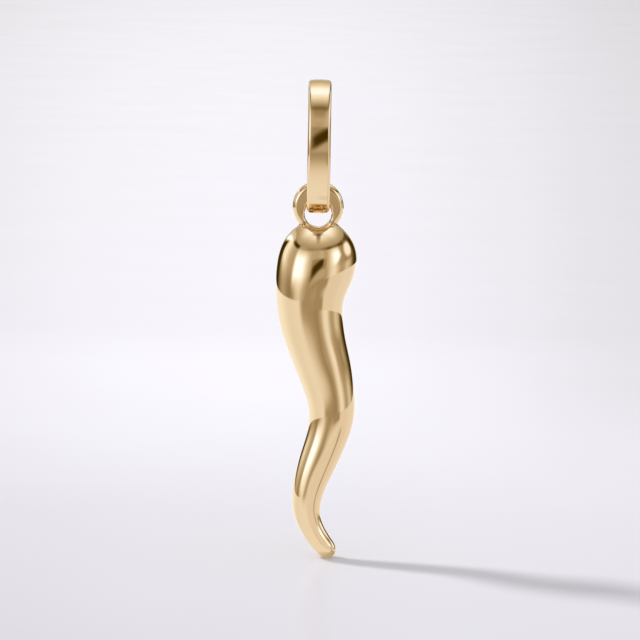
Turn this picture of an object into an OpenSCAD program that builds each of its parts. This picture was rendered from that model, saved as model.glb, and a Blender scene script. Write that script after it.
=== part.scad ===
// Horn charm in gold: an S-curved horn, bowed to the front, with a soldered eye ring, hung in
// a plain oval bail.
// Millimetres, +Z up, +Y away from the viewer. The origin is the middle of the bail's inside
// top, where a chain bears. The bail's loop lies in the YZ plane and the eye faces along Y.

/* [Horn] */
// Length of the horn's run of sections, from its round top to just past its tip
horn_l = 28.4; // [24:0.1:36]
// Width of the horn across its shoulders
horn_w = 6.6; // [5.4:0.1:8]
// Sideways reach of the S-bend, from the upper bend to the lower one
horn_sway = 1.8; // [0.6:0.1:2.6]
// How far the bow brings the tip to the front of the round top
horn_fore = 3.2; // [0:0.1:4]

/* [Eye] */
// Thickness of the eye ring, front to back
eye_t = 1.3; // [1:0.05:1.6]
// Metal at each side of the hole in the eye ring
eye_wall = 1; // [0.8:0.05:1.3]
// Height of the ring's centre above the centre of its hole
eye_rise = 0.6; // [0.3:0.05:0.7]
// Rounding of the ring's outer edges
eye_round = 0.42; // [0.2:0.01:0.48]
// Rounding of the hole's two mouths
eye_flare = 0.25; // [0.1:0.01:0.35]
// Height of the horn's top above the bottom of the hole
eye_set = 0.79; // [0.5:0.01:1]

/* [Bail] */
// Outer height of the bail
bail_h = 11.2; // [9.5:0.1:14]
// Outer depth of the bail, front to back
bail_d = 6.6; // [5.8:0.1:8]
// Outer radius of the bail's two round ends
bail_end = 2.4; // [2:0.05:2.8]
// Width of the bail's strip
bail_w = 1.9; // [1.5:0.05:2.3]
// Thickness of the bail's strip
bail_t = 0.7; // [0.6:0.05:0.85]
// Rounding of the strip's corners
bail_round = 0.28; // [0.15:0.01:0.3]
// Radius of the strip's crowned outer face
bail_crown = 6; // [4:0.5:12]
// Gap between the strip and the hole where they are nearest
fit = 0.05; // [0.04:0.01:0.1]

/* [Hidden] */

// Facets round the horn, rings along each step of its table, and the fineness of true circles
horn_sides = 40;
rings_per_step = 3;
fine = 96;
// How far a cut runs past the metal that it cuts
past = 0.5;
// How much slimmer the bail's sides are on each face, and the angle by which its ends lap them
hair = 0.01;
lap = 3;

// The bail: its inside top is the origin, so its underside lies this high
bail_foot = bail_t - bail_h;
bail_mid = bail_t - bail_h / 2;
// Half the distance between the centres of the two round ends
end_reach = bail_h / 2 - bail_end;
// Outer radius of the two long sides, which meet the round ends without a corner
side_r = (pow(bail_d / 2, 2) + pow(end_reach, 2) - pow(bail_end, 2)) / (bail_d - 2 * bail_end);
side_in = side_r - bail_d / 2;
side_turn = atan2(end_reach, side_in);

// The hole turns round the strip's two upper corners, and its centre is level with the underside
corner_across = bail_w / 2 - bail_round;
corner_up = bail_t - bail_round;
hole_r = norm([corner_across, corner_up]) + bail_round + fit;
hole_z = bail_foot;
eye_r = hole_r + eye_wall;
horn_top = hole_z - hole_r + eye_set;

// Sections of the horn, from the round top to the tip
// share of horn_l down from the top, share of horn_sway to the right,
// share of horn_fore to the front, share of half horn_w
SECTIONS = [
    [-0.012, 0.22, 0.00, 0.00],
    [0.024, 0.22, 0.00, 0.57],
    [0.080, 0.16, -0.02, 0.97],
    [0.155, -0.06, 0.07, 1.02],
    [0.225, -0.35, 0.21, 0.87],
    [0.300, -0.27, 0.28, 0.815],
    [0.375, 0.04, 0.35, 0.735],
    [0.450, 0.44, 0.40, 0.69],
    [0.525, 0.75, 0.47, 0.61],
    [0.590, 0.82, 0.55, 0.57],
    [0.655, 0.53, 0.62, 0.51],
    [0.720, 0.13, 0.67, 0.485],
    [0.785, -0.23, 0.75, 0.41],
    [0.850, -0.40, 0.83, 0.36],
    [0.905, -0.10, 0.91, 0.285],
    [0.948, 0.33, 0.96, 0.27],
    [0.979, 0.80, 1.02, 0.245],
    [0.992, 0.99, 1.06, 0.00]
];
last = len(SECTIONS) - 1;

// Lean of the horn's axis at section i, from the sections on either side of it
function lean(i) =
    let (
        j = max(2, min(last - 2, i)),
        run = SECTIONS[j + 1] - SECTIONS[j - 1]
    )
    atan2(run[1] * horn_sway, run[0] * horn_l);

// Section i in millimetres and degrees: down, across, to the front, radius, lean
function section(i) = [
    SECTIONS[i][0] * horn_l,
    SECTIONS[i][1] * horn_sway,
    SECTIONS[i][2] * horn_fore,
    SECTIONS[i][3] * horn_w / 2,
    lean(i)
];

// Past either end the horn is mirrored in its own axis, which closes it in a smooth round
function mirrored(s) = [s[0], s[1], s[2], -s[3], s[4]];
function at(i) =
    i < 0 ? mirrored(section(-i)) :
    i > last ? mirrored(section(2 * last - i)) :
    section(i);

// A cubic B-spline through the table, so that the polished skin has no kink
function smooth(i, u) = (
    pow(1 - u, 3) * at(i - 1)
    + (3 * pow(u, 3) - 6 * pow(u, 2) + 4) * at(i)
    + (3 * (u + pow(u, 2) - pow(u, 3)) + 1) * at(i + 1)
    + pow(u, 3) * at(i + 2)
) / 6;

// A point on the horn's skin, at an angle round the section s
function skin(s, turn) = [
    s[1] + s[3] * cos(turn) * cos(s[4]),
    s[3] * sin(turn) - s[2],
    horn_top - s[0] + s[3] * cos(turn) * sin(s[4])
];

// The horn without its eye: a pole point, rings of skin points and the tip point
module horn_body() {
    top = smooth(0, 0);
    tip = smooth(last - 1, 1);
    ring_count = last * rings_per_step - 1;
    rings = [
        for (k = [1 : ring_count])
            smooth(floor(k / rings_per_step), k / rings_per_step - floor(k / rings_per_step))
    ];
    points = concat(
        [skin(top, 0)],
        [for (s = rings) for (n = [0 : horn_sides - 1]) skin(s, n * 360 / horn_sides)],
        [skin(tip, 0)]
    );
    tip_point = len(points) - 1;
    function id(ring, n) = 1 + ring * horn_sides + n % horn_sides;
    faces = concat(
        [for (n = [0 : horn_sides - 1]) [0, id(0, n + 1), id(0, n)]],
        [for (k = [0 : ring_count - 2]) for (n = [0 : horn_sides - 1])
            [id(k, n), id(k, n + 1), id(k + 1, n)]],
        [for (k = [0 : ring_count - 2]) for (n = [0 : horn_sides - 1])
            [id(k, n + 1), id(k + 1, n + 1), id(k + 1, n)]],
        [for (n = [0 : horn_sides - 1])
            [id(ring_count - 1, n), id(ring_count - 1, n + 1), tip_point]]
    );
    polyhedron(points, faces, convexity = 6);
}

// Whatever is drawn along Z comes to lie front to back, at the height of the hole's centre
module at_hole() {
    translate([0, 0, hole_z]) rotate([90, 0, 0]) children();
}

// A flat disc with rounded rims, from which the eye ring is cut
module eye_disc() {
    rotate_extrude($fn = fine) {
        translate([0, -eye_t / 2]) square([eye_r - eye_round, eye_t]);
        translate([0, eye_round - eye_t / 2]) square([eye_r, eye_t - 2 * eye_round]);
        for (face = [-1, 1])
            translate([eye_r - eye_round, face * (eye_t / 2 - eye_round)])
                circle(r = eye_round, $fn = fine);
    }
}

// The metal that the hole takes away: a bore with a rounded mouth at each face of the ring,
// and beyond the ring a round trough through the top of the horn, as wide as the mouths
module hole() {
    reach = horn_w / 2 + past;
    bore_end = eye_t / 2 - eye_flare;
    rotate_extrude($fn = fine) difference() {
        translate([0, -reach]) square([hole_r + eye_flare, 2 * reach]);
        translate([hole_r, -bore_end]) square([eye_flare + past, 2 * bore_end]);
        for (face = [-1, 1])
            translate([hole_r + eye_flare, face * bore_end]) circle(r = eye_flare, $fn = fine);
    }
}

// The horn and the eye ring soldered into its top, with the hole cut through both
module horn() {
    color("#d9b36c") difference() {
        union() {
            horn_body();
            at_hole() translate([0, eye_rise, 0]) eye_disc();
        }
        at_hole() hole();
    }
}

// Section of the bail's strip with its outer face at the given radius, slimmer all round
module strip(outer, slim) {
    wide = bail_w - 2 * slim;
    thick = bail_t - 2 * slim;
    inner = outer - bail_t + slim;
    across = corner_across - slim;
    intersection() {
        union() {
            translate([inner, -across]) square([thick, 2 * across]);
            translate([inner + bail_round, -wide / 2]) square([thick - 2 * bail_round, wide]);
            for (x = [inner + bail_round, inner + thick - bail_round], side = [-1, 1])
                translate([x, side * across]) circle(r = bail_round, $fn = fine);
        }
        translate([outer - slim - bail_crown, 0]) circle(r = bail_crown, $fn = fine);
    }
}

// An arc of the strip in the YZ plane, from angle a on through the given sweep
module arc(outer, a, sweep, slim = 0) {
    rotate([90, 0, 90]) rotate([0, 0, a])
        rotate_extrude(angle = sweep, $fn = 2 * fine) strip(outer, slim);
}

// The bail: two round ends joined by two long, gently curved sides, which are a hair slimmer
// and run a little way into the ends
module bail() {
    color("#dcb878") translate([0, 0, bail_mid]) {
        translate([0, 0, end_reach])
            arc(bail_end, side_turn - lap, 180 + 2 * lap - 2 * side_turn);
        translate([0, 0, -end_reach])
            arc(bail_end, 180 + side_turn - lap, 180 + 2 * lap - 2 * side_turn);
        translate([0, -side_in, 0]) arc(side_r, -side_turn, 2 * side_turn, hair);
        translate([0, side_in, 0]) arc(side_r, 180 - side_turn, 2 * side_turn, hair);
    }
}

bail();
horn();
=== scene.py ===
# %% [markdown]
# # A polished gold horn charm
# The charm is a little S-curved horn of solid gold. An eye ring is soldered into its round top,
# and a plain oval bail passes through the ring and takes the chain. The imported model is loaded
# first. It is the fixed frame: it says where each piece sits, and the pieces made here only
# dress it.

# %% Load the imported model
import math

import bpy
import numpy as np
from mathutils import Matrix, Vector
from mathutils.bvhtree import BVHTree


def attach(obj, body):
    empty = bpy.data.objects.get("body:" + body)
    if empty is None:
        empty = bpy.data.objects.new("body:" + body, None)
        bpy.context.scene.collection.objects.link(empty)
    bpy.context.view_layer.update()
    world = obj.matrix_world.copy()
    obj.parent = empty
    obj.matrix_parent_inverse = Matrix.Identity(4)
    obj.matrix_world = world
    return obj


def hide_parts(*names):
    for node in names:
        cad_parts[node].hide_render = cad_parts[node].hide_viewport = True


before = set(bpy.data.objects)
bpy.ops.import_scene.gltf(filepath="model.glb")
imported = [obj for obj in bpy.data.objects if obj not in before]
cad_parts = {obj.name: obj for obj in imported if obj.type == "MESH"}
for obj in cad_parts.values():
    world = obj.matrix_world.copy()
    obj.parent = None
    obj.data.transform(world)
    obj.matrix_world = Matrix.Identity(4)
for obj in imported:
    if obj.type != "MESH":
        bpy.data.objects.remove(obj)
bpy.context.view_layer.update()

# %% [markdown]
# ## Sizes
# A goldsmith works in millimetres and Blender in metres. The pieces are drawn in millimetres,
# because a tenth of a millimetre is easier to read than 0.0001, and each finished mesh is
# scaled down once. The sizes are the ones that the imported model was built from.

# %% Sizes in millimetres
MM = 0.001
HORN_LENGTH = 28.4
HORN_HALF_WIDTH = 3.3
HORN_SWAY = 1.8
HORN_FORE = 3.2
HOLE_HEIGHT = -10.5
HOLE_RADIUS = 1.1208
HOLE_FLARE = 0.25
EYE_RADIUS = 2.1208
EYE_THICK = 1.3
EYE_ROUND = 0.42
EYE_RISE = 0.6
HORN_TOP = HOLE_HEIGHT - HOLE_RADIUS + 0.79
BAIL_HEIGHT = 11.2
BAIL_DEPTH = 6.6
BAIL_END = 2.4
STRIP_WIDTH = 1.9
STRIP_THICK = 0.7
STRIP_ROUND = 0.28
STRIP_CROWN = 6.0

# %% [markdown]
# ## The horn's skin
# The horn is a stack of circles on a snaking line. Each row of the table below says how far
# down a circle lies, how far to the right and to the front, and how wide it is, as shares of the
# sizes above. A modeller could bridge a few rings and add a Subdivision Surface, but polished
# gold shows every wobble as a bent reflection. So the rows are the control points of a cubic
# B-spline, whose curvature never jumps. Rows mirrored past both ends close the top and the tip
# in a smooth round.

# %% Sections from the round top to the tip
SECTIONS = [
    (-0.012, 0.22, 0.00, 0.00),
    (0.024, 0.22, 0.00, 0.57),
    (0.080, 0.16, -0.02, 0.97),
    (0.155, -0.06, 0.07, 1.02),
    (0.225, -0.35, 0.21, 0.87),
    (0.300, -0.27, 0.28, 0.815),
    (0.375, 0.04, 0.35, 0.735),
    (0.450, 0.44, 0.40, 0.69),
    (0.525, 0.75, 0.47, 0.61),
    (0.590, 0.82, 0.55, 0.57),
    (0.655, 0.53, 0.62, 0.51),
    (0.720, 0.13, 0.67, 0.485),
    (0.785, -0.23, 0.75, 0.41),
    (0.850, -0.40, 0.83, 0.36),
    (0.905, -0.10, 0.91, 0.285),
    (0.948, 0.33, 0.96, 0.27),
    (0.979, 0.80, 1.02, 0.245),
    (0.992, 0.99, 1.06, 0.00),
]
LAST = len(SECTIONS) - 1


def control_rows():
    """The table as down, across, fore, radius and lean, with mirrored rows past both ends."""
    shares = np.array(SECTIONS)
    down, across, fore, radius = (shares * (HORN_LENGTH, HORN_SWAY, HORN_FORE, HORN_HALF_WIDTH)).T
    middle = np.clip(np.arange(LAST + 1), 2, LAST - 2)
    lean = np.arctan2(
        across[middle + 1] - across[middle - 1], down[middle + 1] - down[middle - 1]
    )
    rows = np.stack([down, across, fore, radius, lean], axis=1)
    mirror = np.array([1, 1, 1, -1, 1])
    return np.vstack([rows[1] * mirror, rows, rows[-2] * mirror, rows[-3] * mirror])


CONTROL = control_rows()


def horn_circles(places):
    """Down, across, fore, radius and lean at places that count the table's rows from 0 to LAST."""
    first = np.minimum(places.astype(int), LAST - 1)
    u = places - first
    weights = np.stack(
        [(1 - u) ** 3, 3 * u**3 - 6 * u**2 + 4, 3 * (u + u**2 - u**3) + 1, u**3], axis=1
    )
    near = CONTROL[first[:, None] + np.arange(4)]
    return (weights[:, :, None] * near).sum(axis=1) / 6


def horn_skin(ring_count, side_count):
    """A grid of skin points, one row to each circle, in millimetres."""
    down, across, fore, radius, lean = horn_circles(np.linspace(0, LAST, ring_count)).T[:, :, None]
    turn = np.linspace(0, 2 * math.pi, side_count, endpoint=False)
    return np.stack(
        [
            across + radius * np.cos(turn) * np.cos(lean),
            radius * np.sin(turn) - fore,
            HORN_TOP - down + radius * np.cos(turn) * np.sin(lean),
        ],
        axis=2,
    )


widest = 2 * horn_circles(np.linspace(0, LAST, 500))[:, 3].max()
print("horn rows:", LAST + 1, " widest circle in mm:", round(widest, 2))

# %% [markdown]
# ## From a grid of points to a mesh
# Both the horn and the bail start as a grid of points. One helper joins neighbours with quads,
# wraps the grid round where it is closed, and builds the mesh in one call, which is far faster
# than adding faces one by one.

# %% Grid to mesh


def grid_faces(row_count, column_count, rows_wrap=False):
    """Quads between neighbours of a grid whose columns always wrap round."""
    last_row = row_count if rows_wrap else row_count - 1
    row, column = np.meshgrid(np.arange(last_row), np.arange(column_count), indexing="ij")
    below, beside = (row + 1) % row_count, (column + 1) % column_count
    corners = [(row, column), (below, column), (below, beside), (row, beside)]
    return np.stack([r * column_count + c for r, c in corners], axis=-1).reshape(-1, 4)


def new_object(name, points, faces):
    """A mesh object in the scene from points and faces."""
    mesh = bpy.data.meshes.new(name)
    mesh.from_pydata(points, [], faces)
    mesh.validate()
    made = bpy.data.objects.new(name, mesh)
    bpy.context.scene.collection.objects.link(made)
    return made


def capped_tube(name, grid):
    """A closed mesh from a grid whose first and last rows are each one point."""
    rows, columns = grid.shape[:2]
    inner = grid[1:-1].reshape(-1, 3)
    points = np.vstack([inner, grid[0, :1], grid[-1, :1]])
    top, tip = len(inner), len(inner) + 1
    faces = [tuple(f) for f in grid_faces(rows - 2, columns).tolist()]
    tail = (rows - 3) * columns
    for c in range(columns):
        beside = (c + 1) % columns
        faces.append((top, c, beside))
        faces.append((tip, tail + beside, tail + c))
    return new_object(name, points.tolist(), faces)


ROUGH_RINGS, ROUGH_SIDES = 200, 96
rough_horn = capped_tube("rough_horn", horn_skin(ROUGH_RINGS, ROUGH_SIDES))
print("rough horn:", len(rough_horn.data.polygons), "faces")

# %% [markdown]
# ## The true surface
# Where ring, hole and horn meet, a plain Boolean leaves knife edges, and real polished solder
# never does. So the finished surface is written down as a distance: how far a point lies from
# the horn, from the ring and from the hole, and which way is straight out. Two distances melt
# into each other over a small reach, which is the fillet that solder and polishing leave.

# %% Distance from the horn


def unit(ways):
    """The same directions with a length of 1."""
    return ways / np.maximum(np.linalg.norm(ways, axis=1, keepdims=True), 1e-9)


def read_rows(items, key, columns, kind=float):
    """One row of numbers for each of a mesh's items."""
    flat = np.empty(len(items) * columns, kind)
    items.foreach_get(key, flat)
    return flat.reshape(-1, columns)


TRUE_RINGS, TRUE_SIDES = 721, 240
true_horn = capped_tube("true_horn", horn_skin(TRUE_RINGS, TRUE_SIDES))
true_horn.data.calc_loop_triangles()
true_points = read_rows(true_horn.data.vertices, "co", 3)
true_normals = read_rows(true_horn.data.vertex_normals, "vector", 3, np.float32)
true_corners = read_rows(true_horn.data.loop_triangles, "vertices", 3, np.int32)
true_tree = BVHTree.FromPolygons(true_points.tolist(), true_corners.tolist())
bpy.data.objects.remove(true_horn)


def from_horn(points):
    """Distance of each point from the horn's skin, less than 0 inside, and the way straight out."""
    found = [true_tree.find_nearest(p) for p in points.tolist()]
    nearest = np.array([f[0] for f in found])
    corners = true_corners[[f[2] for f in found]]
    a, b, c = (true_points[corners[:, k]] for k in range(3))
    areas = [
        np.linalg.norm(np.cross(q - nearest, r - nearest), axis=1)
        for q, r in ((b, c), (c, a), (a, b))
    ]
    shares = np.stack(areas, axis=1)
    shares /= shares.sum(axis=1, keepdims=True)
    out = unit((shares[:, :, None] * true_normals[corners]).sum(axis=1))
    return ((points - nearest) * out).sum(axis=1), out


# %% Distance from the ring and from the hole
MOUTH_REACH = 0.01
TROUGH_REACH = 0.08


def round_axis(points, height):
    """Distance from the hole's line at that height and from the middle plane, and both ways out."""
    x, y, z = points[:, 0], points[:, 1], points[:, 2] - height
    away = np.maximum(np.hypot(x, z), 1e-9)
    outward = np.stack([x / away, np.zeros_like(x), z / away], axis=1)
    sideways = np.zeros_like(points)
    sideways[:, 1] = np.where(y < 0, -1, 1)
    return away, np.abs(y), outward, sideways


def from_ring(points):
    """Distance from a flat disc with rounded rims, before its hole is cut."""
    away, aside, outward, sideways = round_axis(points, HOLE_HEIGHT + EYE_RISE)
    across = away - (EYE_RADIUS - EYE_ROUND)
    along = aside - (EYE_THICK / 2 - EYE_ROUND)
    corner = np.hypot(np.maximum(across, 0), np.maximum(along, 0))
    flat = np.maximum(across, along)
    distance = np.where(flat > 0, corner, flat) - EYE_ROUND
    slope = np.where(flat > 0, np.maximum(across, 0) / np.maximum(corner, 1e-9), across >= along)
    rise = np.where(flat > 0, np.maximum(along, 0) / np.maximum(corner, 1e-9), across < along)
    return distance, slope[:, None] * outward + rise[:, None] * sideways


def melted(a, b, reach):
    """The joined surface of two bodies, each a distance and a way out, with a fillet of that reach."""
    share = np.clip(0.5 + 0.5 * (b[0] - a[0]) / reach, 0, 1)
    distance = b[0] + (a[0] - b[0]) * share - reach * share * (1 - share)
    return distance, b[1] + (a[1] - b[1]) * share[:, None]


def from_hole(points):
    """Distance from the hole's wall: a bore with a rounded mouth at each face, and a trough beyond."""
    away, aside, outward, sideways = round_axis(points, HOLE_HEIGHT)
    wide = HOLE_RADIUS + HOLE_FLARE
    bore_end = EYE_THICK / 2 - HOLE_FLARE
    bore, end = HOLE_RADIUS - away, aside - bore_end
    trough = (wide - away, -outward)
    tube = (np.maximum(bore, end), np.where((bore > end)[:, None], -outward, sideways))
    from_middle = np.hypot(away - wide, end)
    leaning = (away - wide)[:, None] * outward + end[:, None] * sideways
    mouth = (from_middle - HOLE_FLARE, leaning / np.maximum(from_middle, 1e-9)[:, None])
    return melted(melted(tube, mouth, MOUTH_REACH), trough, TROUGH_REACH)


# %% One surface for the whole horn
SOLDER_REACH = 0.22
POLISHED_EDGE = 0.08


def kept(a, b, reach):
    """The surface of what lies in both bodies, with an edge that is rounded over that reach."""
    distance, out = melted((-a[0], -a[1]), (-b[0], -b[1]), reach)
    return -distance, -out


def from_charm(points):
    """Distance from the finished horn with its ring and hole, and the way straight out."""
    solid = melted(from_horn(points), from_ring(points), SOLDER_REACH)
    return kept(solid, from_hole(points), POLISHED_EDGE)


probe = np.array([[0, 0, HOLE_HEIGHT], [0, 0, HOLE_HEIGHT + EYE_RISE + EYE_RADIUS], [0, -6.0, -20.0]])
print("distance at the hole's middle, at the ring's top and in front:", from_charm(probe)[0].round(3))

# %% [markdown]
# ## Remesh, then snap
# The Remesh modifier in Voxel mode turns overlapping solids into one even skin, but it blurs
# them by about a voxel. So each of its points is then moved onto the true surface, a little
# smoothing evens out the quads, and the true surface also gives each point its normal. The
# reflections then run as smoothly as if the mesh had no facets.

# %% Rough ring and rough cutter
RIM_CUT = 0.12
CUTTER_REACH = 4
TURNED_SIDES = 96


def both_sides(profile):
    """A profile given for the back half, with its mirror image for the front put first."""
    return [(radius, -depth) for radius, depth in profile] + profile[::-1]


def turned(name, profile, height):
    """A solid of revolution about the hole's line, from points of radius and distance front to back."""
    turn = np.linspace(0, 2 * math.pi, TURNED_SIDES, endpoint=False)
    radius, depth = np.array(profile, float).T[:, :, None]
    grid = np.stack(
        [radius * np.cos(turn), depth + 0 * turn, height + radius * np.sin(turn)], axis=2
    )
    return capped_tube(name, grid)


half = EYE_THICK / 2
wide = HOLE_RADIUS + HOLE_FLARE
ring_side = [
    (0, half),
    (EYE_RADIUS - EYE_ROUND, half),
    (EYE_RADIUS - RIM_CUT, half - RIM_CUT),
    (EYE_RADIUS, half - EYE_ROUND),
]
hole_side = [(0, CUTTER_REACH), (wide, CUTTER_REACH), (wide, half), (HOLE_RADIUS, half - HOLE_FLARE)]
rough_ring = turned("rough_ring", both_sides(ring_side), HOLE_HEIGHT + EYE_RISE)
rough_hole = turned("rough_hole", both_sides(hole_side), HOLE_HEIGHT)
print("rough ring and hole:", len(rough_ring.data.polygons) + len(rough_hole.data.polygons), "faces")

# %% Joined, bored and remeshed
SKIN_STEP = 0.095


def apply_modifiers(solid):
    """Makes what the modifiers show the object's own mesh."""
    evaluated = solid.evaluated_get(bpy.context.evaluated_depsgraph_get())
    mesh = bpy.data.meshes.new_from_object(evaluated)
    solid.modifiers.clear()
    solid.data = mesh


def bored(solid, cutter, operation):
    """Applies one Boolean to a rough solid and removes the tool."""
    boolean = solid.modifiers.new(operation.lower(), "BOOLEAN")
    boolean.operation = operation
    boolean.solver = "EXACT"
    boolean.object = cutter
    apply_modifiers(solid)
    bpy.data.objects.remove(cutter)


bored(rough_horn, rough_ring, "UNION")
bored(rough_horn, rough_hole, "DIFFERENCE")
remesh = rough_horn.modifiers.new("even_skin", "REMESH")
remesh.mode = "VOXEL"
remesh.voxel_size = SKIN_STEP
apply_modifiers(rough_horn)
print("even skin:", len(rough_horn.data.polygons), "quads")

# %% Snap to the true surface


def snapped(points):
    """Points moved straight onto the true surface, and how far they were from it."""
    distance, out = from_charm(points)
    # where two surfaces melt into each other the way out is shorter than 1, so the step is longer
    length = (out**2).sum(axis=1, keepdims=True)
    return points - distance[:, None] * out / np.maximum(length, 0.2), np.abs(distance)


def evened(points, edges):
    """Points moved along the surface towards the middle of their neighbours."""
    total, count = np.zeros_like(points), np.zeros(len(points))
    for here, there in (edges.T, edges.T[::-1]):
        np.add.at(total, here, points[there])
        np.add.at(count, here, 1)
    step = 0.5 * (total / np.maximum(count, 1)[:, None] - points)
    out = unit(from_charm(points)[1])
    return points + step - (step * out).sum(axis=1, keepdims=True) * out


points = read_rows(rough_horn.data.vertices, "co", 3)
edges = read_rows(rough_horn.data.edges, "vertices", 2, np.int32)
for _ in range(2):
    points, off = snapped(points)
print("farthest from the true surface after two snaps:", off.max().round(4))
for _ in range(2):
    points, off = snapped(evened(points, edges))
for _ in range(2):
    points, off = snapped(points)
normals = unit(from_charm(points)[1])
print("farthest at the end, in mm:", off.max().round(5))

# %% Finished horn mesh


def finish_mesh(made, points, normals):
    """Gives a mesh its final points in metres and its true normals."""
    made.data.vertices.foreach_set("co", (points * MM).ravel())
    made.data.polygons.foreach_set("use_smooth", [True] * len(made.data.polygons))
    made.data.normals_split_custom_set_from_vertices(normals.tolist())
    made.data.update()
    return made


rough_horn.name = "horn_polished"
horn = finish_mesh(rough_horn, points, normals)
print("horn:", len(horn.data.polygons), "quads")
print("horn's box in mm:", points.min(0).round(2), points.max(0).round(2))

# %% [markdown]
# ## The bail
# The bail is a flat strip of gold bent into an oval and soldered shut. In Blender a closed
# curve with a bevel profile would do. Here the strip's section is carried round four arcs that
# meet without a corner, because then each point's normal is known exactly, and the narrow
# polished edges keep their crisp line of light.

# %% Section of the strip
CROWN_STEPS = 15
CORNER_STEPS = 11


def arc_points(middle, radius, start, end, count):
    """Points on an arc and the way straight out at each, angles in degrees."""
    angle = np.radians(np.linspace(start, end, count))
    way = np.stack([np.cos(angle), np.sin(angle)], axis=1)
    return np.array(middle) + radius * way, way


def strip_section():
    """The strip's outline as height over its outer face and distance across, with the ways out."""
    across = STRIP_WIDTH / 2 - STRIP_ROUND
    swing = math.degrees(math.asin(across / (STRIP_CROWN - STRIP_ROUND)))
    shoulder = -STRIP_CROWN + (STRIP_CROWN - STRIP_ROUND) * math.cos(math.radians(swing))
    inner = STRIP_ROUND - STRIP_THICK
    parts = [
        arc_points((-STRIP_CROWN, 0), STRIP_CROWN, -swing, swing, CROWN_STEPS),
        arc_points((shoulder, across), STRIP_ROUND, swing, 90, CORNER_STEPS),
        arc_points((inner, across), STRIP_ROUND, 90, 180, CORNER_STEPS),
        arc_points((inner, -across), STRIP_ROUND, 180, 270, CORNER_STEPS),
        arc_points((shoulder, -across), STRIP_ROUND, 270, 360 - swing, CORNER_STEPS),
    ]
    places = np.vstack([p for p, _ in parts])
    ways = np.vstack([w for _, w in parts])
    fresh = np.linalg.norm(places - np.roll(places, 1, axis=0), axis=1) > 1e-6
    return places[fresh], ways[fresh]


section, section_ways = strip_section()
print("strip section:", len(section), "points")

# %% The oval path
END_STEPS = 101
SIDE_STEPS = 141


def bail_path():
    """Points on the bail's outer face in the YZ plane, and the ways out."""
    middle = STRIP_THICK - BAIL_HEIGHT / 2
    reach = BAIL_HEIGHT / 2 - BAIL_END
    side = ((BAIL_DEPTH / 2) ** 2 + reach**2 - BAIL_END**2) / (BAIL_DEPTH - 2 * BAIL_END)
    inset = side - BAIL_DEPTH / 2
    turn = math.degrees(math.atan2(reach, inset))
    parts = [
        arc_points((0, middle + reach), BAIL_END, turn, 180 - turn, END_STEPS),
        arc_points((inset, middle), side, 180 - turn, 180 + turn, SIDE_STEPS),
        arc_points((0, middle - reach), BAIL_END, 180 + turn, 360 - turn, END_STEPS),
        arc_points((-inset, middle), side, -turn, turn, SIDE_STEPS),
    ]
    return np.vstack([p[:-1] for p, _ in parts]), np.vstack([w[:-1] for _, w in parts])


def swept(across, in_plane):
    """Rows of x, y and z, from one x for each point of the section and a grid of y and z."""
    x = np.broadcast_to(across, in_plane.shape[:2])
    return np.stack([x, in_plane[..., 0], in_plane[..., 1]], axis=2).reshape(-1, 3)


path, path_ways = bail_path()
bail_points = swept(section[:, 1], path[:, None, :] + section[:, :1] * path_ways[:, None, :])
bail_normals = swept(section_ways[:, 1], section_ways[:, :1] * path_ways[:, None, :])
bail_faces = grid_faces(len(path), len(section), rows_wrap=True)
bail = new_object("bail_polished", bail_points.tolist(), bail_faces.tolist())
finish_mesh(bail, bail_points, bail_normals)
print("bail:", len(bail.data.polygons), "quads")
print("bail's box in mm:", bail_points.min(0).round(2), bail_points.max(0).round(2))

# %% [markdown]
# ## Riding on the frame
# Each piece rides on the body of the imported model that it belongs to, so that it swings with
# it, and stands for the node that it dresses.

# %% Ride and replace
for piece, name in ((bail, "bail"), (horn, "horn")):
    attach(piece, name)
    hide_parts(name)

# %% [markdown]
# ## Camera
# A jeweller's photograph is taken with a long lens from just above table height. The camera
# looks at the middle of the charm from 8 degrees above, and is rolled by about a degree.

# %% Camera
ELEVATION = 8.0
CAMERA_FAR = 0.36
ROLL = 0.92
# the picture is 640 pixels wide, and at the charm one of them spans 0.0837 mm
PICTURE_WIDTH = 640
PIXEL = 0.0837 * MM
SENSOR = 36
AIM = Vector((0.3 * MM, 0, -19.47 * MM))
camera_data = bpy.data.cameras.new("camera")
camera = bpy.data.objects.new("camera", camera_data)
bpy.context.scene.collection.objects.link(camera)
bpy.context.scene.camera = camera
tilt = math.radians(ELEVATION)
back = Vector((0, -math.cos(tilt), math.sin(tilt)))
camera.location = AIM + CAMERA_FAR * back
facing = (-back).to_track_quat("-Z", "Y").to_matrix()
camera.rotation_euler = (facing @ Matrix.Rotation(math.radians(ROLL), 3, "Z")).to_euler()
camera_data.sensor_width = SENSOR
camera_data.lens = SENSOR * CAMERA_FAR / (PICTURE_WIDTH * PIXEL)
camera_data.clip_start, camera_data.clip_end = 0.01, 20
print("lens:", round(camera_data.lens, 1), "mm")

# %% [markdown]
# ## Arithmetic on wires
# Shader nodes are easier to read as formulas. A wire stands for one output socket. It can be
# added, multiplied or compared like a number, and every other node comes from one method that
# takes the node's type, its settings and the values of its sockets.

# %% Wires


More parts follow.
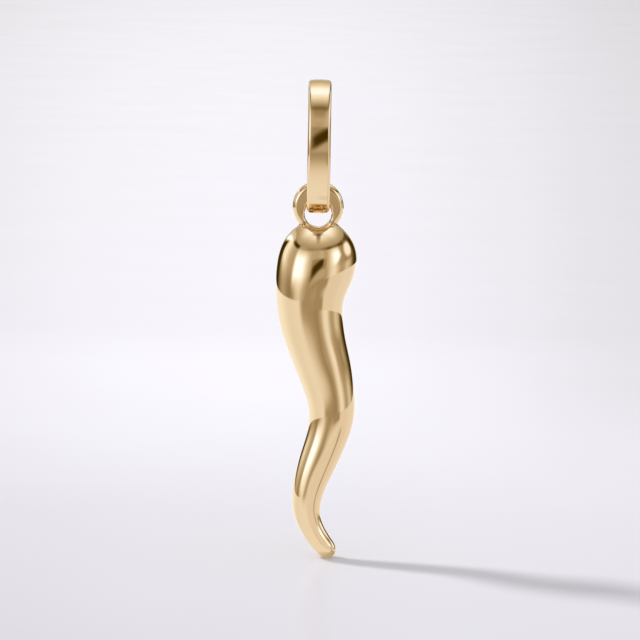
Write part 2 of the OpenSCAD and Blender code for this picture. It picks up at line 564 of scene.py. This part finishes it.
class Wire:
    """One output socket of a node tree. Without a socket it is the empty sheet to start from."""

    def __init__(self, tree, socket=None):
        self.tree = tree
        self.socket = socket

    def node(self, kind, settings=None, values=None, output=0):
        """A new node: its settings first, then a value or a wire for each socket that is named."""
        made = self.tree.nodes.new(kind)
        for name, value in (settings or {}).items():
            if name == "stops":
                self.set_stops(made.color_ramp, value)
            else:
                setattr(made, name, value)
        for name, value in (values or {}).items():
            if isinstance(value, Wire):
                self.tree.links.new(value.socket, made.inputs[name])
            else:
                made.inputs[name].default_value = value
        return Wire(self.tree, made.outputs[output])

    def set_stops(self, ramp, stops):
        """Stops of a colour ramp, each a place and a grey or a colour."""
        while len(ramp.elements) < len(stops):
            ramp.elements.new(1.0)
        for element, (place, value) in zip(ramp.elements, stops):
            element.position = place
            element.color = (*value, 1) if isinstance(value, tuple) else (value, value, value, 1)

    def maths(self, operation, *others):
        """A Math node on this wire and the others."""
        values = dict(enumerate((self, *others)))
        return self.node("ShaderNodeMath", {"operation": operation}, values)

    def __add__(self, other):
        return self.maths("ADD", other)

    def __sub__(self, other):
        return self.maths("SUBTRACT", other)

    def __mul__(self, other):
        return self.maths("MULTIPLY", other)

    def __truediv__(self, other):
        return self.maths("DIVIDE", other)

    def __rsub__(self, other):
        return (self * -1) + other

    def __neg__(self):
        return self * -1

    __radd__ = __add__
    __rmul__ = __mul__

    def rise(self, low, high):
        """Goes smoothly from 0 at low to 1 at high."""
        span = {"Value": self, "From Min": low, "From Max": high}
        return self.node("ShaderNodeMapRange", {"interpolation_type": "SMOOTHSTEP"}, span)

    def inside(self, low, high, soft):
        """1 between low and high, and 0 beyond a soft edge centred on each."""
        up = self.rise(low - soft / 2, low + soft / 2)
        return up * (1 - self.rise(high - soft / 2, high + soft / 2))

    def ramp(self, stops, low=0.0, high=1.0):
        """A colour ramp along this wire, whose places are given between low and high."""
        placed = [((place - low) / (high - low), value) for place, value in stops]
        along = (self - low) / (high - low)
        return self.node("ShaderNodeValToRGB", {"stops": placed}, {"Fac": along})

    def between(self, first, second):
        """The first colour where this wire is 0, turned into the second where it is 1."""
        return self.node("ShaderNodeMix", {"data_type": "RGBA"}, {0: self, 6: first, 7: second}, output=2)

    def around_ramp(self, stops):
        """A colour ramp along this wire, which is in degrees, all the way round."""
        return self.ramp(stops, -180, 180)

    def parts(self):
        """A wire for each of a position's x, y and z."""
        split = self.node("ShaderNodeSeparateXYZ", values={"Vector": self})
        return [Wire(self.tree, part) for part in split.socket.node.outputs]

    def blend(self, other, share):
        """This number turned into the other where the share is 1."""
        return self + (other - self) * share


# %% Materials from wires


def new_material(name):
    """An empty material with its sheet and its output node."""
    made = bpy.data.materials.new(name)
    made.use_nodes = True
    made.node_tree.nodes.clear()
    output = made.node_tree.nodes.new("ShaderNodeOutputMaterial")
    return made, Wire(made.node_tree), output


def surface(sheet, output, shader):
    """Joins a shader to the material's output."""
    sheet.tree.links.new(shader.socket, output.inputs["Surface"])


def position(sheet):
    """The place on the object, in metres."""
    return sheet.node("ShaderNodeTexCoord", output="Object")


# %% [markdown]
# ## Polished gold
# A metal has no colour of its own but tints what it mirrors, so Metallic is 1 and the Base
# Color is the colour of gold's mirror image. High polish is a low Roughness. Real polish isn't
# perfect: the wheel leaves faint hairlines and the cast skin waves a little. The solder's crease
# is darkened with painted shade. Just under the hole, a painted dark line stands for the
# bail's end mirrored in the trough.

# %% Painted shade in the solder's crease, and a painted reflection under the hole
CREASE_REACH = 0.16
REFLECTION_DOWN = 0.17
REFLECTION_REACH = 0.13
REFLECTION_HALF = 0.55
REFLECTION_BACK = -EYE_THICK / 2 - 0.05
# painted shade, strongest where the horn's skin and the ring's side meet
horn_off, _ = from_horn(points)
ring_off, _ = from_ring(points)
shade_amount = np.exp(-((horn_off / CREASE_REACH) ** 2) - (ring_off / CREASE_REACH) ** 2)
# in front, just under the hole, a painted dark line: the bail's end mirrored in the trough
x, y, z = points.T
under = np.hypot(x, z - HOLE_HEIGHT) - HOLE_RADIUS - HOLE_FLARE
bail_reflection = np.exp(-(((under - REFLECTION_DOWN) / REFLECTION_REACH) ** 2) - (x / REFLECTION_HALF) ** 4)
shade_amount = shade_amount + bail_reflection * (y < REFLECTION_BACK) * (z < HOLE_HEIGHT)
solder = horn.data.attributes.new("solder", "FLOAT", "POINT")
solder.data.foreach_set("value", shade_amount.astype(np.float32))
bail.data.attributes.new("solder", "FLOAT", "POINT")
print("points in the solder's crease:", int((shade_amount > 0.3).sum()))

# %% Gold
GOLD = (0.85, 0.645, 0.375, 1)
GOLD_DEEP = (0.80, 0.575, 0.30, 1)
# the colour that the painted shade turns the gold to
GOLD_SHADE = (0.30, 0.20, 0.09, 1)
# how far the cloudy patches and the painted shade turn the colour, and how much each thing dulls the
# polish
CLOUD_TINT = 0.12
SHADE_TINT = 0.9
SHADE_DARK = 0.85
HAIRLINE_DULL = 0.035
CLOUD_DULL = 0.02
SHADE_DULL = 0.12
WAVE_DEPTH = 0.02 * MM


def gold_material(name, roughness, hairline_stretch):
    """Polished gold with hairlines that run along the stretched axis."""
    made, sheet, output = new_material(name)
    place = position(sheet)
    stretched = sheet.node(
        "ShaderNodeVectorMath", {"operation": "MULTIPLY"}, {0: place, 1: hairline_stretch}
    )
    hairlines = sheet.node(
        "ShaderNodeTexNoise",
        values={"Vector": stretched, "Scale": 1.0, "Detail": 3.0, "Roughness": 0.6},
    )
    cloud = sheet.node("ShaderNodeTexNoise", values={"Vector": place, "Scale": 420.0, "Detail": 2.0})
    # painted shade from the mesh's attribute: the crease, and the dark line under the hole
    shade_amount = sheet.node("ShaderNodeAttribute", {"attribute_name": "solder"}, output="Fac")
    deep_share = (cloud.rise(0.45, 0.75) * CLOUD_TINT + shade_amount * SHADE_TINT).maths("MINIMUM", 1.0)
    shade_share = shade_amount.rise(0.35, 1.0) * SHADE_DARK
    tint = deep_share.between(GOLD, GOLD_DEEP)
    tint = shade_share.between(tint, GOLD_SHADE)
    dull = roughness + hairlines.rise(0.45, 0.8) * HAIRLINE_DULL
    dull = dull + cloud.rise(0.5, 0.8) * CLOUD_DULL + shade_amount * SHADE_DULL
    relief = sheet.node(
        "ShaderNodeBump",
        values={"Height": hairlines * 0.25 + cloud, "Strength": 0.045, "Distance": WAVE_DEPTH},
    )
    metal = sheet.node(
        "ShaderNodeBsdfPrincipled",
        values={"Base Color": tint, "Metallic": 1.0, "Roughness": dull, "Normal": relief},
    )
    surface(sheet, output, metal)
    return made


horn_gold = gold_material("gold_horn", roughness=0.045, hairline_stretch=(2600.0, 2600.0, 320.0))
bail_gold = gold_material("gold_bail", roughness=0.05, hairline_stretch=(3200.0, 700.0, 700.0))
for piece, metal in ((horn, horn_gold), (bail, bail_gold)):
    piece.data.materials.clear()
    piece.data.materials.append(metal)
print("gold:", horn_gold.name, bail_gold.name)

# %% [markdown]
# ## What the gold mirrors
# Polished gold is only as good as what stands round it. In a photo studio that is a ceiling of
# light, two softboxes, dark gaps between them and the camera itself. Here all of it is painted
# on one big dome by direction: how far round from the front, and how high. Only mirror rays see
# the dome, so it neither lights the floor nor shows behind the charm. The brightness painted is
# how light the gold should look there, and one ramp turns it into the light that does it.

# %% Light for each brightness of the gold
LOOKS = [
    (0.10, (0.012, 0.006, 0.0)),
    (0.15, (0.022, 0.013, 0.0)),
    (0.22, (0.038, 0.025, 0.005)),
    (0.31, (0.067, 0.050, 0.019)),
    (0.42, (0.112, 0.094, 0.056)),
    (0.48, (0.158, 0.128, 0.088)),
    (0.55, (0.195, 0.170, 0.130)),
    (0.63, (0.248, 0.226, 0.190)),
    (0.725, (0.32, 0.31, 0.288)),
    (0.775, (0.37, 0.36, 0.38)),
    (0.83, (0.405, 0.42, 0.46)),
    (0.86, (0.44, 0.455, 0.485)),
    (0.94, (0.48, 0.56, 0.71)),
    (1.00, (0.50, 0.66, 1.00)),
]
LOOK_STRENGTH = 2.45
print("brightness goes from", LOOKS[0][0], "to", LOOKS[-1][0])

# %% Painted light


def glow(sheet, brightness):
    """The light that gives the gold this brightness."""
    light = {"Color": brightness.ramp(LOOKS), "Strength": LOOK_STRENGTH}
    return sheet.node("ShaderNodeEmission", values=light)


def glow_material(name, paint):
    """A glowing paint whose brightness a function of position works out."""
    made, sheet, output = new_material(name)
    x, y, z = position(sheet).parts()
    surface(sheet, output, glow(sheet, paint(x, y, z)))
    return made


def only_mirrored(shell):
    """Hides a stage object from everything but mirror rays."""
    shell.visible_camera = False
    shell.visible_diffuse = False
    shell.visible_shadow = False
    shell.visible_transmission = False


# %% Painting the dome


def direction(x, y, z):
    """Degrees round from the front, more than 0 to the right, and degrees up from level."""
    degrees = 180 / math.pi
    level_reach = (x * x + y * y).maths("SQRT")
    return x.maths("ARCTAN2", -y) * degrees, z.maths("ARCTAN2", level_reach) * degrees


def paint_dome(x, y, z):
    """Brightness by direction."""
    around, height = direction(x, y, z)
    # the walls, just over the table and higher up
    low_wall = around.around_ramp([
        (-180, 0.78), (-170, 0.52), (-160, 0.14), (-142, 0.14), (-125, 0.44), (-112, 0.57), (-98, 0.57),
        (-85, 0.48), (-70, 0.44), (-62, 0.54), (-51, 0.72), (-40, 0.76), (-28, 0.62), (-15, 0.52),
        (0, 0.50), (24, 0.48), (35, 0.61), (46, 0.80), (57, 0.84), (66, 0.72), (76, 0.57), (86, 0.60),
        (97, 0.74), (107, 0.70), (116, 0.58), (126, 0.34), (136, 0.17), (150, 0.13), (160, 0.44),
        (180, 0.86),
    ])
    high_wall = around.around_ramp([
        (-180, 0.70), (-166, 0.48), (-157, 0.12), (-136, 0.14), (-129, 0.84), (-115, 0.91), (-104, 0.78),
        (-92, 0.64), (-80, 0.59), (-60, 0.60), (-12, 0.62), (0, 0.60), (14, 0.66), (26, 0.59),
        (60, 0.62), (80, 0.53), (92, 0.50), (126, 0.40), (140, 0.16), (154, 0.13), (164, 0.46),
        (180, 0.64),
    ])
    higher = height.rise(-3, 12).blend(height.rise(0, 7), around.rise(50, 70))
    level = low_wall.blend(high_wall, higher)
    # the left softbox, soft towards the front
    box = around.rise(-77, -64) * (1 - around.rise(-44, -12))
    level = level.blend(1.0, box * height.rise(-6, 8) * (1 - height.rise(22, 45)))
    # the right softbox, with its low outer corner cut away
    outer = around + (18 - height).maths("MAXIMUM", 0.0) * 1.1
    box = around.rise(26, 58) * (1 - outer.rise(68, 84))
    level = level.blend(1.0, box * height.rise(-5, 14) * (1 - height.rise(24, 48)))
    # a round cream panel beyond it
    aside = (around - 111) / 24
    above = (height - 19) / 15
    level = level.blend(0.91, 1 - (aside * aside + above * above).rise(0.15, 1.05))
    # the white strip at the back left, which climbs towards the side
    climb = height - 14 - (around + 155) * 0.62
    level = level.blend(1.0, climb.inside(-5.5, 6.0, 5) * around.inside(-162, -116, 8))
    # the ceiling, whose edge comes down towards the back
    edge = around.around_ramp([
        (-180, 0.10), (-156, 0.20), (-146, 0.30), (-135, 0.375), (-125, 0.415), (-115, 0.43),
        (-95, 0.445), (-80, 0.455), (-60, 0.49), (0, 0.51), (58, 0.495), (75, 0.475), (95, 0.435),
        (105, 0.42), (115, 0.395), (125, 0.36), (135, 0.31), (146, 0.255), (156, 0.18), (180, 0.10),
    ]) * 90
    over = height - edge
    seam = around.around_ramp([
        (-180, 0.70), (-118, 0.74), (-111, 0.60), (-104, 0.28), (-92, 0.15), (-82, 0.13), (-75, 0.24),
        (-68, 0.57), (-48, 0.57), (-30, 0.49), (5, 0.52), (26, 0.42), (42, 0.28), (52, 0.38),
        (66, 0.40), (78, 0.36), (86, 0.25), (97, 0.26), (114, 0.38), (130, 0.28), (146, 0.20),
        (156, 0.45), (180, 0.65),
    ])
    level = level.blend(seam, over.inside(-6, 4, 5))
    span = over * (0.86 + 0.22 * around.maths("ABSOLUTE").rise(60, 110))
    ceiling = span.ramp([
        (0, 0.55), (3, 0.57), (7, 0.62), (11, 0.68), (15, 0.75), (20, 0.84), (28, 0.94), (36, 0.985),
    ], -5, 45)
    return level.blend(ceiling, over.rise(-2, 2))


DOME_RADIUS = 2.0
bpy.ops.mesh.primitive_uv_sphere_add(segments=64, ring_count=32, radius=DOME_RADIUS, location=AIM)
dome = bpy.context.object
dome.name = "mirrored_studio"
dome.data.materials.append(glow_material("studio_paint", paint_dome))
only_mirrored(dome)
print("dome:", len(dome.data.polygons), "faces")

# %% [markdown]
# ## The camera's own mirror image
# Every shiny thing shows the camera that looks at it, as a dark spot with a soft brown halo. It
# stands close by, so the bail and the round top show it and the tip doesn't. The picture is
# painted on a clear sheet: a Mix Shader turns from Transparent to the glow where the spot is.
# The sheet glows on its back face alone, so the table doesn't mirror it.

# %% Clear painted sheets


def veil_material(name, paint):
    """A clear sheet that glows on its back face, by a function of place in millimetres."""
    made, sheet, output = new_material(name)
    x, y, z = position(sheet).parts()
    brightness, cover = paint(x / MM, y / MM, z / MM)
    from_behind = sheet.node("ShaderNodeNewGeometry", output="Backfacing")
    clear = sheet.node("ShaderNodeBsdfTransparent")
    parts = {0: cover * from_behind, 1: clear, 2: glow(sheet, brightness)}
    surface(sheet, output, sheet.node("ShaderNodeMixShader", values=parts))
    return made


def hang_sheet(name, corners, faces, paint):
    """A clear painted sheet, its corners in millimetres, that only mirror rays see."""
    veil = new_object(name, [tuple(MM * v for v in corner) for corner in corners], faces)
    veil.data.materials.append(veil_material(name + "_paint", paint))
    only_mirrored(veil)
    print(name + ":", len(faces), "faces")


# %% Camera spot


def paint_camera(x, y, z):
    """A dark spot, slanted and wider than high, in a brown halo."""
    halo = x.inside(-40, 90, 30) * z.inside(-28, 60, 20)
    slant = z - 17 - x * 0.45
    spot = x.rise(-72, -4) * (1 - x.rise(48, 72)) * slant.inside(-21, 21, 28)
    brown = 0.60 - z.rise(0, 16) * 0.12
    return brown.blend(0.16, spot), halo.maths("MAXIMUM", spot)


SPOT_Y = -170
SPOT_LEFT, SPOT_RIGHT = -75, 110
SPOT_LOW, SPOT_TOP = -55, 85
hang_sheet(
    "camera_spot",
    [(SPOT_LEFT, SPOT_Y, SPOT_LOW), (SPOT_RIGHT, SPOT_Y, SPOT_LOW),
     (SPOT_RIGHT, SPOT_Y, SPOT_TOP), (SPOT_LEFT, SPOT_Y, SPOT_TOP)],
    [(0, 1, 2, 3)],
    paint_camera,
)

# %% [markdown]
# ## A card over the bail
# The bail's crown mirrors something much nearer than the ceiling: a narrow card held just over
# it, white above the crown and darker towards the front. It is a painted reflection: a sheet
# that glows and that only mirror rays see. The horn sees no more than a sliver.

# %% Card


def paint_card(x, y, z):
    """Brightness by the place front to back, and a soft edge at each side."""
    bright = y.ramp([
        (-12.5, 0.57), (-9.5, 0.62), (-6.2, 0.47), (-5.4, 0.36), (-4.2, 0.67), (-3.3, 0.87),
        (-2.5, 0.97), (-1.6, 0.96), (-0.9, 0.78), (-0.1, 0.63),
    ], -15, 1)
    return bright, x.inside(-1.5, 1.5, 1.4) * y.rise(-13.5, -11.0)


CARD_HEIGHT = 1.2
CARD_HALF = 2.3
CARD_FRONT, CARD_BACK = -13.7, 0.9
hang_sheet(
    "white_card",
    [(-CARD_HALF, CARD_FRONT, CARD_HEIGHT), (CARD_HALF, CARD_FRONT, CARD_HEIGHT),
     (CARD_HALF, CARD_BACK, CARD_HEIGHT), (-CARD_HALF, CARD_BACK, CARD_HEIGHT)],
    [(0, 1, 2, 3)],
    paint_card,
)

# %% [markdown]
# ## A screen by the tip
# A low curved screen stands on the table before the tip, to its right, and keeps the dark of
# the far wall out of it. It is a painted reflection: a sheet that glows with a light tone and a
# painted shadow, and that only mirror rays see.

# %% Screen


def paint_screen(x, y, z):
    """A light tone with the charm's shadow across it, fading out at the top and at both ends."""
    around, _ = direction(x, y, z)
    cover = around.inside(0, 78, 20) * (1 - z.rise(-33.5, -31.0))
    return 0.77 - around.inside(47, 55, 4) * 0.18, cover


SCREEN_FAR = 16
SCREEN_TOP = -30.8
SCREEN_FOOT = -39.0
SCREEN_TURNS = [math.radians(turn) for turn in range(-12, 93, 8)]
hang_sheet(
    "low_screen",
    [
        (SCREEN_FAR * math.sin(turn), -SCREEN_FAR * math.cos(turn), height)
        for turn in SCREEN_TURNS
        for height in (SCREEN_FOOT, SCREEN_TOP)
    ],
    [(2 * n, 2 * n + 2, 2 * n + 3, 2 * n + 1) for n in range(len(SCREEN_TURNS) - 1)],
    paint_screen,
)

# %% [markdown]
# ## The floor, seen and mirrored
# The white table is brightest round the charm and falls off, and the gold's undersides mirror
# that. The camera needs another picture of the same table: pale, with a shadow and a faint
# mirror image. So there are two floors in one place. One is seen only by mirror rays and the
# other by all the rest. The mirrored one glows with painted light, a painted shadow and painted
# shade at the tip's foot. The seen one has its falloff painted into its colour, and its shadow
# comes from the lamp.

# %% Mirrored floor
FLOOR = -39.02 * MM
MIRRORED_FLOOR = FLOOR - 0.02 * MM
MIRRORED_REACH = 0.2
FOOT_X = 1.8 * MM
FOOT_Y = -3.4 * MM
SHADOW_WAY = (0.843, -0.538)


def paint_floor(x, y, z):
    """Brightness by distance from the charm in metres, and by the way round."""
    around, _ = direction(x, y, z)
    wide = (x * x + y * y).maths("SQRT")
    level = around.around_ramp([
        (-180, 0.86), (-145, 0.87), (-112, 0.87), (-95, 0.83), (-75, 0.80), (-40, 0.82), (40, 0.77),
        (75, 0.77), (95, 0.80), (125, 0.80), (145, 0.84), (165, 0.89), (180, 0.86),
    ])
    front = wide.ramp([
        (0.0, 0.82), (0.03, 0.82), (0.05, 0.79), (0.065, 0.75), (0.08, 0.70), (0.10, 0.64),
        (0.12, 0.58), (0.15, 0.54), (0.2, 0.51),
    ], 0.0, 0.3)
    level = level.blend(front, around.rise(-42, -22) * (1 - around.rise(27, 49)))
    level = level.blend(0.51, around.inside(13, 40, 8) * wide.rise(0.075, 0.11))
    # painted shade at the tip's foot, and a painted shadow of the charm, which runs from it to the right
    aside = (x - FOOT_X) / MM
    ahead = (y - FOOT_Y) / MM
    level = level.blend(0.62, 1 - (aside * aside + ahead * ahead).maths("SQRT").rise(0.5, 2.2))
    along = aside * SHADOW_WAY[0] + ahead * SHADOW_WAY[1]
    across = ahead * SHADOW_WAY[0] - aside * SHADOW_WAY[1]
    shade = across.inside(-1.3, 1.3, 1.4) * along.rise(0, 3) * (1 - along.rise(34, 48))
    return level * (1 - shade * 0.28)


bpy.ops.mesh.primitive_circle_add(
    vertices=96, radius=MIRRORED_REACH, fill_type="NGON", location=(0, 0, MIRRORED_FLOOR)
)
pool = bpy.context.object
pool.name = "mirrored_floor"
pool.data.materials.append(glow_material("floor_paint", paint_floor))
only_mirrored(pool)
print("mirrored floor at", round(1000 * MIRRORED_FLOOR, 2), "mm")

# %% Seen floor
# the light falls off to both sides along lines that fan out from this far before the charm
FAN_START = 0.36


def floor_material():
    """White satin acrylic with painted light in its colour: lighter behind the charm and darker towards
    the edges, where the light falls off.
    """
    made, sheet, output = new_material("white_table")
    place = position(sheet)
    x, y, _ = place.parts()
    depth = y.ramp([
        (-0.04, 0.77), (-0.018, 0.80), (0.0, 0.82), (0.017, 0.835), (0.0375, 0.89), (0.06, 0.945),
        (0.085, 0.97), (0.105, 0.972), (0.114, 0.96), (0.13, 0.925), (0.3, 0.90), (0.44, 0.88),
        (0.7, 0.845),
    ], -0.1, 0.8)
    spread = x / (y + FAN_START).maths("MAXIMUM", 0.1)
    behind = spread.ramp([
        (-0.085, 0.86), (-0.072, 0.895), (-0.06, 0.93), (-0.045, 0.965), (-0.02, 0.995), (0.0, 0.995),
        (0.0186, 0.98), (0.0465, 0.92), (0.0605, 0.87), (0.072, 0.84), (0.1, 0.80),
    ], -0.1, 0.1)
    before = spread.ramp([
        (-0.1, 0.90), (-0.072, 0.925), (-0.04, 0.97), (0.0, 0.995), (0.03, 1.02), (0.072, 1.01),
        (0.1, 1.0),
    ], -0.1, 0.1)
    shade = depth * before.blend(behind, y.rise(0.01, 0.1))
    grain = sheet.node("ShaderNodeTexNoise", values={"Vector": place, "Scale": 60.0, "Detail": 3.0})
    lit = shade * (0.997 + grain * 0.006)
    colour = sheet.node("ShaderNodeCombineColor", values={0: lit, 1: lit * 0.992, 2: lit * 1.02})
    table = sheet.node(
        "ShaderNodeBsdfPrincipled",
        values={"Base Color": colour, "Roughness": 0.22 + grain * 0.05, "Specular IOR Level": 0.06},
    )
    surface(sheet, output, table)
    return made


TABLE_HALF = 2
TABLE_FRONT, TABLE_BACK = -1.5, 3
table = new_object(
    "white_table",
    [(-TABLE_HALF, TABLE_FRONT, FLOOR), (TABLE_HALF, TABLE_FRONT, FLOOR),
     (TABLE_HALF, TABLE_BACK, FLOOR), (-TABLE_HALF, TABLE_BACK, FLOOR)],
    [(0, 1, 2, 3)],
)
table.data.materials.append(floor_material())
table.visible_glossy = False
print("floor at", round(1000 * FLOOR, 2), "mm")

# %% [markdown]
# ## Light on the table
# The gold already has its light. The table gets a soft light from all round, which the World
# gives, and one lamp at the back left that throws the shadow.

# %% World
world = bpy.data.worlds.new("room")
bpy.context.scene.world = world
world.use_nodes = True
room = world.node_tree.nodes["Background"]
room.inputs["Color"].default_value = (0.65, 0.65, 0.70, 1)
room.inputs["Strength"].default_value = 1.0
print("world:", world.name)

# %% Lamp
LAMP_FAR = 1.5
LAMP_AROUND = 32.5
LAMP_UP = 42.0
LAMP_SIZE = 0.24
LAMP_POWER = 13.9
lamp_data = bpy.data.lights.new("back_lamp", "AREA")
lamp_data.shape = "DISK"
lamp_data.size = LAMP_SIZE
lamp_data.energy = LAMP_POWER
lamp_data.color = (0.98, 0.97, 1.0)
lamp = bpy.data.objects.new("back_lamp", lamp_data)
bpy.context.scene.collection.objects.link(lamp)
turn, up = math.radians(LAMP_AROUND), math.radians(LAMP_UP)
toward = Vector((-math.cos(turn) * math.cos(up), math.sin(turn) * math.cos(up), math.sin(up)))
lamp.location = Vector((0, 0, FLOOR)) + LAMP_FAR * toward
lamp.rotation_euler = toward.to_track_quat("Z", "Y").to_euler()
lamp.visible_glossy = False
lamp.visible_camera = False
print("lamp at", [round(v, 3) for v in lamp.location])

# %% Colours shown as they are, without a film look
bpy.context.scene.view_settings.view_transform = "Standard"
print("view transform:", bpy.context.scene.view_settings.view_transform)
